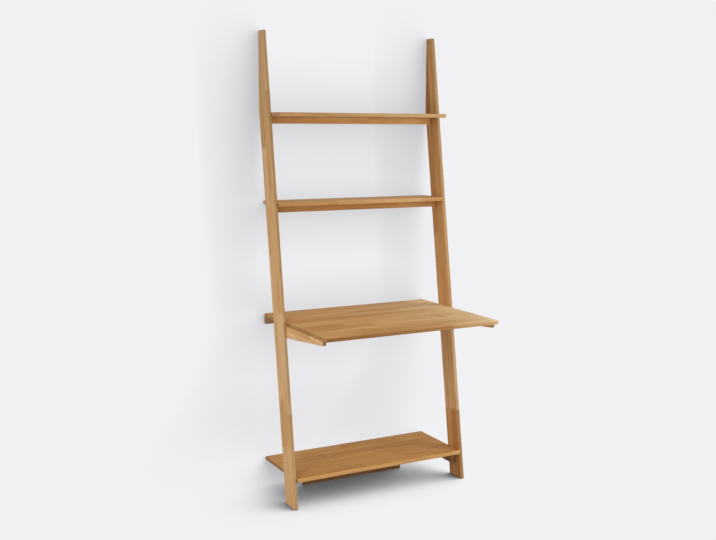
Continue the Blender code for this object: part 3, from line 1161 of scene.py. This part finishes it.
@dataclass
class Fastener(ABC):
    """One screw, dowel or plug, placed from its solid.

    Each kind has a word that the names of its solids hold, a slot of the record, and the order in which
    its finish reads x, y and z.

    Args:
        node: The solid that it stands for.
        clearance: Gap between it and its hole.
        run_out: How far its hole runs past the face that it opens in.
        sides: Points round it.
    """

    node: str
    clearance: float = 0.0003
    run_out: float = 0.002
    sides: int = 32
    word: ClassVar[str]
    slot: ClassVar[str]
    grain_order: ClassVar[tuple[int, ...]] = (0, 1, 2)

    def __post_init__(self) -> None:
        """Read its length, radius and head from its box."""
        self.low, self.high = limits(self.node)
        size = self.high - self.low
        self.aim = self.direction(np.array([np.sign(self.low[0] + self.high[0]), 0.0, 0.0]))
        run = int(np.argmax(np.abs(self.aim)))
        self.length = size[run]
        self.radius = np.delete(size, run).min() / 2
        self.head = (self.low + self.high) / 2 - self.aim * self.length / 2
        self.turn = np.array(facing(self.aim))

    def direction(self, outward: Array) -> Array:
        """Direction that its tip points in, inwards unless its kind says otherwise."""
        return -outward

    @abstractmethod
    def shape(self) -> Surface:
        """The fastener with its tip down and its head at z = 0."""

    def hole(self, floor: float) -> Surface | None:
        """The hole that takes it in a piece whose underside lies at some height; a plug has none."""
        return None

    def stepped(self, slim: float, wide: float, head: float, past: float) -> Surface:
        """A stepped hole, wider than the fastener by its clearance.

        Args:
            slim: Radius of the shank.
            wide: Radius of the head.
            head: Height of the head.
            past: How far the hole runs on past the head.

        Returns:
            The hole as a closed surface in its place.
        """
        radius = np.array([slim, slim, wide, wide]) + self.clearance
        step = -head - self.clearance
        z = np.array([-self.length - self.clearance, step, step, past])
        return skin(turned(radius, z, self.sides)).moved(self.turn, self.head)

    def build(self, finish: bpy.types.Material) -> None:
        """Make its piece and dress it.

        Args:
            finish: Its material.
        """
        piece = as_object("made_" + self.node, self.shape().moved(self.turn, self.head))
        local = (rows(piece.data.vertices, "co") - self.head) @ self.turn
        store(piece.data, "grain", Domain.POINT, local[:, list(self.grain_order)])
        hand_over(piece, self.node, finish)


@dataclass
class Screw(Fastener):
    """A cross-headed screw that is driven upwards, or from within into an upright.

    Args:
        head_height: Height of the head.
        shank: Radius over the thread, over that of the head.
        core: Radius of the core over that of the thread.
        plain: Share of the shank that has no thread.
        thread_pitch: Way of the thread in one turn.
        thread_steps: Rings in one turn.
        thread_slope: Steepness of the ridge of the thread.
        tip: Length of the point.
        tip_end: Radius of the point's end over that of the shank.
        rim: Radius and height of each ring of the rim, over those of the head.
        crown: Radius of the crown's first and last ring over that of the head.
        crown_rings: Rings of the crown.
        recess: Depth of the cross over the height of the head.
        arm: Half width and length of an arm of the cross over the radius of the head.
        fall: Share of both over which the arm's walls and ends fall.
    """

    head_height: float = 0.0022
    shank: float = 0.5
    core: float = 0.68
    plain: float = 0.30
    thread_pitch: float = 0.0019
    thread_steps: int = 6
    thread_slope: float = 5.0
    tip: float = 0.006
    tip_end: float = 0.04
    rim: tuple[Pair, ...] = ((1.0, -1.0), (1.0, -0.35), (0.94, -0.12), (0.86, -0.04))
    crown: Pair = (0.76, 0.06)
    crown_rings: int = 9
    recess: float = 0.75
    arm: Pair = (0.17, 0.62)
    fall: Pair = (0.5, 0.45)
    word = "_screw_"
    slot = "screw_steel"

    def direction(self, outward: Array) -> Array:
        """Outwards from the side of a support, and up anywhere else."""
        return outward if "_side_screw_" in self.node else UP

    def hole(self, floor: float) -> Surface:
        """The hole that takes it, which opens in the underside of the piece where the screw points up."""
        past = self.aim[2] * max(self.head[2] - floor, 0.0) + self.run_out
        return self.stepped(self.radius * self.shank, self.radius, self.head_height, past)

    def shape(self) -> Surface:
        """Turn the screw from its tip to the middle of its head.

        The shank's radius is core + (R - core) w(z / pitch - t / 2 pi), where w is a ridge that rises and
        falls once a turn; the crown of the head dips where |x| or |y| lies in an arm of the cross.

        Returns:
            The surface.
        """
        shank = self.radius * self.shank
        core = shank * self.core
        plain = self.head_height + self.plain * (self.length - self.head_height)
        thread = np.arange(-self.length, -plain, self.thread_pitch / self.thread_steps)
        z = np.concatenate([thread, [-plain, -self.head_height]])[:, None]
        phase = np.mod(z / self.thread_pitch - round_angles(self.sides) / math.tau, 1.0)
        ridge = np.clip(1.0 - np.abs(phase - 0.5) * self.thread_slope, 0.0, 1.0)
        ridge[len(thread):] = 0.0
        taper = np.clip((z + self.length) / self.tip, self.tip_end, 1.0)
        rings = turned(np.ones(len(z)), z[:, 0], self.sides)
        rings[..., :2] *= ((core + (shank - core) * ridge) * taper)[..., None]
        edge, height = np.array(self.rim).T
        rim = turned(self.radius * edge, self.head_height * height, self.sides)
        across = self.radius * np.linspace(*self.crown, self.crown_rings)
        crown = turned(across, np.zeros(self.crown_rings), self.sides)
        crown[..., 2] = -self.head_height * self.recess * self.cross(crown[..., 0], crown[..., 1])
        return skin(np.concatenate([rings, rim, crown]))

    def cross(self, x: Array, y: Array) -> Array:
        """Depth of a cross recess: 1 inside either arm, falling to 0 at its walls and ends.

        Args:
            x: Places along one arm.
            y: Places along the other.

        Returns:
            The depth at each place.
        """
        width, reach = self.radius * np.array(self.arm)
        arms = []
        for along, beside in ((x, y), (y, x)):
            inside = np.clip((width - np.abs(beside)) / (width * self.fall[0]) + 0.5, 0.0, 1.0)
            arms.append(inside * np.clip((reach - np.abs(along)) / (reach * self.fall[1]), 0.0, 1.0))
        return np.maximum(*arms)


@dataclass
class EndScrew(Screw):
    """A long screw through an upright into the end of a board, under a plug.

    Args:
        head_height: Height of the head.
        shank: Radius over the thread, over that of the head.
        plug_radius: Radius of the plug.
        plug_length: Length of the plug.
    """

    head_height: float = 0.003
    shank: float = 0.595
    plug_radius: float = 0.005
    plug_length: float = 0.0048
    word = "_end_screw_"

    def direction(self, outward: Array) -> Array:
        """Inwards."""
        return -outward

    def hole(self, floor: float) -> Surface:
        """The hole that takes the screw and its plug."""
        past = self.plug_length + self.run_out
        return self.stepped(self.radius * self.shank, self.plug_radius, self.head_height, past)


@dataclass
class Dowel(Fastener):
    """A fluted dowel, inwards in the end of a rail and up in the plinth.

    Args:
        chamfer: Height of the chamfer over the radius.
        chamfer_end: Radius of its end over that of the dowel.
        flute_start: Place where the flutes start, over the height of the chamfer.
        flutes: Number of flutes.
        flute_depth: Depth of a flute over the radius.
    """

    chamfer: float = 1.0 / 3.0
    chamfer_end: float = 0.66
    flute_start: float = 1.6
    flutes: int = 16
    flute_depth: float = 0.07
    word = "_dowel_"
    slot = "dowel_beech"
    grain_order = (2, 0, 1)

    def direction(self, outward: Array) -> Array:
        """Inwards from the end of a rail, and up anywhere else."""
        return -outward if "rail" in self.node else UP

    def hole(self, floor: float) -> Surface:
        """A blind hole, shared by the two pieces that the dowel joins."""
        return self.stepped(self.radius, self.radius, self.length / 2, self.clearance)

    def shape(self) -> Surface:
        """Turn the dowel: between its chamfers the radius is R less depth ((1 + cos(flutes t)) / 2) squared.

        Returns:
            The surface.
        """
        end = self.radius * self.chamfer * np.array([0.0, 1.0, self.flute_start])
        z = np.concatenate([end - self.length, -end[::-1]])
        radius = self.radius * np.array([self.chamfer_end, 1.0, 1.0, 1.0, 1.0, self.chamfer_end])
        rings = turned(radius, z, self.sides * 2)
        dip = self.flute_depth * (0.5 + 0.5 * np.cos(self.flutes * round_angles(self.sides * 2))) ** 2
        rings[2:4, :, :2] *= (1.0 - dip)[:, None]
        return skin(rings)


@dataclass
class Plug(Fastener):
    """A plug that is glued in over an end screw.

    Args:
        rim: Radius of each ring of the eased rim, over that of the plug.
        ease: Depth of the outer rings of the rim.
        crown: Radius of the crown's first and last ring, over that of the plug.
        crown_rings: Rings of the crown.
        fall: How far the crown falls to its rim.
    """

    rim: tuple[float, ...] = (1.0, 1.0, 0.985, 0.96)
    ease: Pair = (0.0003, 0.0001)
    crown: Pair = (0.85, 0.05)
    crown_rings: int = 6
    fall: float = 0.0001
    word = "_plug_"
    slot = "plug_oak"

    def shape(self) -> Surface:
        """Turn a disc with an eased rim, whose crown falls with the square of the radius.

        Returns:
            The surface.
        """
        share = np.concatenate([self.rim, np.linspace(*self.crown, self.crown_rings)])
        z = np.zeros(len(share))
        z[:3] = -self.length, -self.ease[0], -self.ease[1]
        z[2:] -= self.fall * share[2:] ** 2
        return skin(turned(self.radius * share, z, self.sides * 2))


@dataclass
class Fastenings:
    """All screws, dowels and plugs of the desk.

    Args:
        kinds: Kinds of fastener; a node is the first one whose word is in its name.
    """

    kinds: tuple[type[Fastener], ...] = (EndScrew, Screw, Dowel, Plug)

    def __post_init__(self) -> None:
        """Find the fasteners among the solids."""
        self.all: list[Fastener] = []
        for node in sorted(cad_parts):
            found = [kind for kind in self.kinds if kind.word in node]
            self.all += [kind(node) for kind in found[:1]]

    def cutters(self, node: str) -> list[Surface]:
        """Holes of the fasteners whose boxes reach into a node's box.

        Args:
            node: The solid to drill.

        Returns:
            The holes as closed surfaces. A plug sits in its end screw's hole and adds none.
        """
        low, high = limits(node)
        holes = [one.hole(low[2]) for one in self.all if np.all(one.low < high) and np.all(one.high > low)]
        return [hole for hole in holes if hole is not None]

    def build(self, finishes: dict[str, bpy.types.Material]) -> None:
        """Make and dress every fastener with the finish of its slot."""
        for one in self.all:
            one.build(finishes[one.slot])


class OakWork(ABC):
    """A sub-assembly of oak bars."""

    @abstractmethod
    def bars(self) -> list[Bar]:
        """Its bars in their places."""

    def build(self, finish: bpy.types.Material, fastenings: Fastenings) -> None:
        """Make, drill and dress its bars."""
        for bar in self.bars():
            bar.build(finish, fastenings.cutters(bar.node))


@dataclass
class Uprights(OakWork):
    """The two leaning planks.

    Args:
        foot_reach: Distance from the wall to the front of the foot.
        foot_depth: Depth of the foot.
        top_depth: Depth of the top end.
        stocks: The oak of each plank, of two staves from its front edge to its back edge; its colour darkens
            towards the top, and its front edge has colours of its own.
    """

    foot_reach: float = 0.335
    foot_depth: float = 0.092
    top_depth: float = 0.044
    stocks: dict[str, Stock] = field(
        default_factory=lambda: {
            # Lighter at the foot than at the top, with a darker front edge.
            "left_upright": Stock(
                start=(1.03, 1.05, 1.12),
                end=(0.84, 0.88, 0.99),
                front_start=(0.757, 0.80, 0.821),
                front_end=(0.796, 0.84, 0.836),
                joints=((0.27, 0.38, 0.80, 1.28), (0.26, 0.44, 1.04, 1.22, 1.46)),
                lots=(1071, 1204),
            ),
            # Darker towards the top; the front edge is darker at the foot and paler and bluer at the top.
            "right_upright": Stock(
                start=(1.00, 0.97, 0.92),
                end=(0.72, 0.66, 0.58),
                front_start=(0.88, 0.94, 1.06),
                front_end=(1.10, 1.30, 1.75),
                joints=((0.31, 0.70, 0.94, 1.60), (0.31, 0.70, 1.09, 1.60)),
                lots=(986, 89),
            ),
        }
    )

    def bars(self) -> list[Bar]:
        """The planks, with stops at the foot, at the bend of the back edge and at the top.

        Returns:
            The two bars.
        """
        wall, height = CAD_BOX[1].y, CAD_BOX[1].z
        lean = (self.foot_reach - self.top_depth) / height
        stops = np.array([0.0, (self.foot_reach - self.foot_depth) / lean, height])
        front = wall - self.foot_reach + lean * stops
        back = np.minimum(front + self.foot_depth, wall)
        made = []
        for seed, (node, stock) in enumerate(self.stocks.items(), start=1):
            sides = [corner[0] for corner in limits(node)]
            section = [np.column_stack([np.full(3, x), y]) for x, y in zip(sides, (front, back))]
            made.append(Bar(node, Axis.Z, stops, *section, seed, stock, lean=math.atan(lean)))
        return made


@dataclass
class Boards(OakWork):
    """The boards, their rails and the plinth, which all run from side to side.

    Args:
        stocks: The oak of each of them, with light and shade painted into the colours of most.
    """

    stocks: dict[str, Stock] = field(
        default_factory=lambda: {
            # Front edges of both shelves: painted shade at the left end and painted light towards the right
            # end.
            "top_shelf": Stock(front_start=(0.80, 0.80, 0.80), front_end=(1.02, 1.12, 1.22)),
            "second_shelf": Stock(front_start=(0.84, 0.80, 0.70), front_end=(1.02, 1.02, 1.02)),
            # Desk top: a painted sheen pales the right-hand end, and painted shade darkens the front edge,
            # most at the left.
            "desk_top": Stock(
                start=(0.95, 0.88, 0.72),
                end=(1.34, 1.70, 2.35),
                late=4.0,
                front_start=(0.48, 0.42, 0.38),
                front_end=(0.80, 0.76, 0.70),
            ),
            # Bottom shelf: painted shade darkens the board, and painted light brightens its front edge.
            "bottom_shelf": Stock.even(
                (0.83, 0.74, 0.55), front_start=(1.28, 1.38, 1.62), front_end=(1.30, 1.44, 1.80)
            ),
            # Rails: painted light lightens the top rail towards the right; painted shade darkens the second
            # rail a little, most at the right.
            "top_rail": Stock(start=(0.90, 0.82, 0.72), end=(1.30, 1.38, 1.48), late=1.0),
            "second_rail": Stock(start=(0.88, 0.84, 0.76), end=(0.84, 0.78, 0.68)),
            # Painted shade on the left end of the desk's rear rail, fading towards the right.
            "desk_rear_rail": Stock(start=(0.55, 0.56, 0.62)),
            # Painted shade: the plinth under the bottom shelf is darkened all along.
            "plinth": Stock.even((0.58, 0.52, 0.47)),
        }
    )

    def bars(self) -> list[Bar]:
        """A straight bar for each of them."""
        numbered = enumerate(self.stocks.items(), start=3)
        return [Bar.of_box(node, Axis.X, seed, stock) for seed, (node, stock) in numbered]


@dataclass
class Supports(OakWork):
    """The tapered brackets under the desk top and the cleats under the bottom shelf.

    Args:
        tip_height: Height of a bracket at its front end.
        bracket_stock: The oak of the brackets, paler from painted light, with painted shade on their front
            ends.
        cleat_stock: The oak of the cleats, darkened by painted shade.
        brackets: The solids of the brackets.
        cleats: The solids of the cleats.
    """

    tip_height: float = 0.0175
    # Painted light makes the brackets paler and bluer; painted shade darkens their front ends under the desk
    # top.
    bracket_stock: Stock = Stock.even((1.12, 1.16, 1.32), front_start=(0.8, 0.8, 0.8))
    # Painted shade darkens the cleats under the bottom shelf.
    cleat_stock: Stock = Stock.even((0.66, 0.60, 0.54))
    brackets: tuple[str, ...] = ("left_desk_bracket", "right_desk_bracket")
    cleats: tuple[str, ...] = ("left_cleat", "right_cleat")

    def bars(self) -> list[Bar]:
        """Bars that run from front to back; a bracket's lower edge rises to its tip.

        Returns:
            The brackets, then the cleats.
        """
        made = []
        for seed, node in enumerate(self.brackets + self.cleats, start=11):
            stock = self.bracket_stock if node in self.brackets else self.cleat_stock
            made.append(Bar.of_box(node, Axis.Y, seed, stock))
        for bar in made[: len(self.brackets)]:
            bar.low[0, 0] = bar.high[0, 0] - self.tip_height
        return made


@dataclass
class WallAngles:
    """The two bent steel angles under the back of the top shelf.

    Args:
        sheet: Thickness of the sheet.
        bend: Radius inside the bend.
        corner: Radius of the corners of each leg.
        steps: Facets of the bend and of a corner.
        hole: Radius of the wall hole.
        hole_run: Ends of the wall hole's cutter, in front of and behind the wall.
        hole_sides: Points round the hole.
        nodes: The solids of the angles.
    """

    sheet: float = 0.002
    bend: float = 0.0015
    corner: float = 0.005
    steps: int = 6
    hole: float = 0.0028
    hole_run: Pair = (-0.008, 0.004)
    hole_sides: int = 32
    nodes: tuple[str, ...] = ("left_wall_angle", "right_wall_angle")

    def profile(self, shelf_leg: float, wall_leg: float) -> Array:
        """Outline of the bent sheet as (y, z) points, turning left seen from +X.

        The two legs lie along -Y and -Z from the outer corner at (0, 0); both sides of the bend are
        quarter circles about one centre.

        Args:
            shelf_leg: Length of the leg under the shelf.
            wall_leg: Length of the leg on the wall.

        Returns:
            The outline.
        """
        turn = np.linspace(0.0, QUARTER, self.steps + 1)
        quarter = np.column_stack([np.cos(turn), np.sin(turn)])
        outer = self.bend + self.sheet
        outside = -outer + outer * quarter
        inside = -outer + self.bend * quarter[::-1]
        wall_end = np.array([[-self.sheet, -wall_leg], [0.0, -wall_leg]])
        shelf_end = np.array([[-shelf_leg, 0.0], [-shelf_leg, -self.sheet]])
        return np.concatenate([wall_end, outside, shelf_end, inside])

    def surface(self, node: str) -> Surface:
        """Carry the outline across the width; near each side the legs shorten along a quarter circle.

        Args:
            node: The solid that gives its place and size.

        Returns:
            The closed surface.
        """
        low, high = limits(node)
        turn = np.linspace(0.0, QUARTER, self.steps + 1)
        side = self.corner * (1.0 - np.cos(turn))
        short = self.corner * (1.0 - np.sin(turn))
        legs = (high - low)[1:]
        outlines = np.stack([self.profile(*(legs - cut)) for cut in np.concatenate([short, short[::-1]])])
        rings = np.empty((*outlines.shape[:2], 3))
        rings[..., 0] = np.concatenate([low[0] + side, high[0] - side[::-1]])[:, None]
        rings[..., 1:] = outlines + high[1:]
        return skin(rings)

    def build(self, finish: bpy.types.Material, fastenings: Fastenings) -> None:
        """Make, drill and dress both angles.

        Args:
            finish: Their steel.
            fastenings: What drills the screw holes.
        """
        forward = np.array(facing((0.0, -1.0, 0.0)))
        bore = skin(turned(np.full(2, self.hole), np.array(self.hole_run), self.hole_sides))
        for node in self.nodes:
            low, high = limits(node)
            middle = np.array([(low[0] + high[0]) / 2, high[1], (low[2] + high[2] - self.sheet) / 2])
            piece = as_object("bent_" + node, self.surface(node))
            drilled(piece, [bore.moved(forward, middle), *fastenings.cutters(node)])
            hand_over(piece, node, finish)


@dataclass(frozen=True)
class GroundFinish(Finish):
    """Pale paint of floor and wall that shows at one even level and darkens where something is near.

    Every value depends on the way from the corner of floor and wall, out along the floor or up the
    wall, so that the corner doesn't show.

    Args:
        name: Name of the material.
        shown: Colour that the camera and the metal see.
        bounce: Colour of the light that it gives back.
        corner: Place of the wall along Y.
        see_through: Whether it holds no light back; from behind it doesn't show in any case.
        reach: Distance over which a thing darkens it, at the corner and high on the wall.
        top: Way up the wall over which the one becomes the other.
        turn: Ways between which the floor's values become the wall's.
        floor_light: Direction that the floor's light comes from.
        floor_curve: Share of open sky at which the floor is black, and at which it is bare.
        wall_light: Direction that the wall's light comes from.
        wall_depth: How dark the wall gets: 1 is black under a thing that covers it.
        samples: Rays that look for things near.
        roughness: Roughness of the paint.
        specular: Level of its gloss.
    """

    name: str
    shown: Colour
    bounce: Colour
    corner: float
    see_through: bool = False
    reach: Pair = (0.62, 0.27)
    top: float = 0.75
    turn: Pair = (-0.06, 0.40)
    floor_light: Point = (1.0, -0.2, 1.0)
    floor_curve: Pair = (0.07, 0.92)
    wall_light: Point = (1.6, -1.0, 0.4)
    wall_depth: float = 0.6
    samples: int = 24
    roughness: float = 0.9
    specular: float = 0.1

    def dress(self, g: MaterialGraph) -> None:
        """Show the shaded paint to the camera, and give back plain light.

        Args:
            g: The material's nodes.
        """
        g.set(Base_Color=(*self.bounce, 1.0), Roughness=self.roughness, Specular_IOR_Level=self.specular)
        paint = g.add("Emission", (*self.shown, 1.0), self.shade(g)).outputs[0]
        clear = g.add("BsdfTransparent").outputs[0]
        given = clear if self.see_through else g.shader.outputs[0]
        front = g.add("MixShader", g.seen(), given, paint).outputs[0]
        behind = g.add("NewGeometry").outputs["Backfacing"]
        g.fill(g.output, Surface=g.add("MixShader", behind, front, clear).outputs[0])

    def shade(self, g: NodeGraph) -> Socket:
        """How much light reaches each place past what stands near it.

        Args:
            g: The material's nodes.

        Returns:
            A number from 0 to 1.
        """
        _, y, z = g.split(g.add("TexCoord").outputs["Object"])
        way = g.math("SUBTRACT", g.math("ADD", y, z), self.corner)
        light = [g.spread(way, *self.turn, *pair) for pair in zip(self.floor_light, self.wall_light)]
        near = g.add("AmbientOcclusion", samples=self.samples)
        g.fill(near, Distance=g.spread(way, 0.0, self.top, *self.reach), Normal=g.join(*light))
        bare = near.outputs["AO"]
        on_floor = g.spread(bare, *self.floor_curve, 0.0, 1.0)
        on_wall = g.math("MULTIPLY_ADD", bare, self.wall_depth, 1.0 - self.wall_depth)
        rise = g.spread(way, *self.turn, 0.0, 1.0)
        return g.math("MULTIPLY_ADD", rise, g.math("SUBTRACT", on_wall, on_floor), on_floor)


@dataclass(frozen=True)
class Lamp:
    """A square soft lamp.

    Args:
        name: Its name.
        place: Where it hangs.
        aim: The point that it faces.
        size: Length of its side.
        power: Its power in watts.
    """

    name: str
    place: Point
    aim: Point
    size: float
    power: float

    def build(self) -> None:
        """Hang the lamp, out of the camera's sight."""
        data = bpy.data.lights.new(self.name, "AREA")
        data.shape = "SQUARE"
        data.size = self.size
        data.energy = self.power
        made = bpy.data.objects.new(self.name, data)
        place = Vector(self.place)
        made.matrix_world = Matrix.Translation(place) @ facing(Vector(self.aim) - place).to_4x4()
        made.visible_camera = False
        bpy.context.scene.collection.objects.link(made)


@dataclass
class Studio:
    """Pale floor and wall, soft light and the camera.

    Args:
        eye: Place of the camera.
        yaw: Angle of its view to the right of +Y, in degrees.
        pitch: Angle of its view above the horizon, in degrees.
        roll: Angle by which its right-hand side is raised, in degrees.
        lens: Focal length in millimetres.
        sensor: Width of the sensor in millimetres.
        ground: Colour that floor and wall show.
        bounce: Colour of the light that the floor gives back.
        sky: Strength of the even light from all round.
        reach: Half the width of floor and wall.
        wall_gap: Gap between the desk and the wall.
        lamps: The soft lamps.
    """

    eye: Point = (-2.0046, -3.5404, 1.5152)
    yaw: float = 28.266
    pitch: float = -8.064
    roll: float = 0.219
    lens: float = 50.561
    sensor: float = 36.0
    ground: Colour = (0.880, 0.880, 0.896)
    bounce: Colour = (0.62, 0.62, 0.63)
    sky: float = 0.62
    reach: float = 14.0
    wall_gap: float = 0.001
    lamps: tuple[Lamp, ...] = (
        Lamp("key", (1.8, -0.9, 1.6), (0.0, 0.05, 0.8), 0.8, 12.5),
        Lamp("side_fill", (-1.7, -0.9, 1.3), (-0.2, 0.1, 0.9), 1.2, 12.5),
        Lamp("front_fill", (0.6, -1.4, 0.6), (0.0, 0.0, 0.4), 0.8, 4.5),
    )

    def camera(self) -> None:
        """Set up the camera of the photograph."""
        yaw, pitch, roll = (math.radians(angle) for angle in (self.yaw, self.pitch, self.roll))
        ahead = (math.sin(yaw) * math.cos(pitch), math.cos(yaw) * math.cos(pitch), math.sin(pitch))
        data = bpy.data.cameras.new("camera")
        data.sensor_width = self.sensor
        data.lens = self.lens
        made = bpy.data.objects.new("camera", data)
        turn = facing(ahead).to_4x4() @ Matrix.Rotation(roll, 4, "Z")
        made.matrix_world = Matrix.Translation(Vector(self.eye)) @ turn
        bpy.context.scene.collection.objects.link(made)
        bpy.context.scene.camera = made

    def sheet(self, name: str, corners: list[Point], finish: GroundFinish) -> None:
        """Put up a flat stage sheet between four corners, which takes no part in its own shade.

        Args:
            name: Its name.
            corners: Its corners, turning left seen from its front.
            finish: Its paint.
        """
        made = as_object(name, Surface(np.array(corners), np.array([[0, 1, 2, 3]])))
        made.data.materials.append(finish.material())
        made.visible_shadow = False

    def ground_sheets(self) -> None:
        """Lay the floor, and stand the wall a hair behind the desk."""
        far = self.reach
        back = CAD_BOX[1].y + self.wall_gap
        floor = GroundFinish("pale_floor", self.ground, self.bounce, back)
        wall = GroundFinish("pale_wall", self.ground, self.bounce, back, see_through=True)
        self.sheet("floor", [(-far, -far, 0.0), (far, -far, 0.0), (far, far, 0.0), (-far, far, 0.0)], floor)
        self.sheet("wall", [(-far, back, 0.0), (far, back, 0.0), (far, back, far), (-far, back, far)], wall)

    def even_light(self) -> None:
        """An even sky that shows as the ground's colour."""
        world = bpy.data.worlds.new("studio")
        world.use_nodes = True
        world.cycles.sampling_method = "NONE"
        world.node_tree.nodes.clear()
        g = NodeGraph(world.node_tree)
        skies = ((WHITE, self.sky), (self.ground, 1.0))
        given, shown = (g.add("Background", (*colour, 1.0), light).outputs[0] for colour, light in skies)
        g.add("OutputWorld", g.add("MixShader", g.seen(), given, shown).outputs[0])
        bpy.context.scene.world = world

    def build(self) -> None:
        """Set the whole studio up."""
        self.camera()
        self.ground_sheets()
        self.even_light()
        for lamp in self.lamps:
            lamp.build()
        bpy.context.scene.view_settings.view_transform = "Standard"
        LOG.info("studio is set with %d lamps", len(self.lamps))


def main() -> None:
    """Build the desk's pieces in order, then the studio."""
    logging.basicConfig(level=logging.INFO, format="%(name)s: %(message)s")
    fastenings = Fastenings()
    oak = OakFinish().material()
    for work in (Uprights(), Boards(), Supports()):
        work.build(oak, fastenings)
    zinc = ZincFinish().material()
    beech = BeechFinish().material()
    plug = PlugFinish().material()
    fastenings.build({"screw_steel": zinc, "dowel_beech": beech, "plug_oak": plug})
    WallAngles().build(zinc, fastenings)
    Studio().build()


if __name__ == "__main__":
    main()
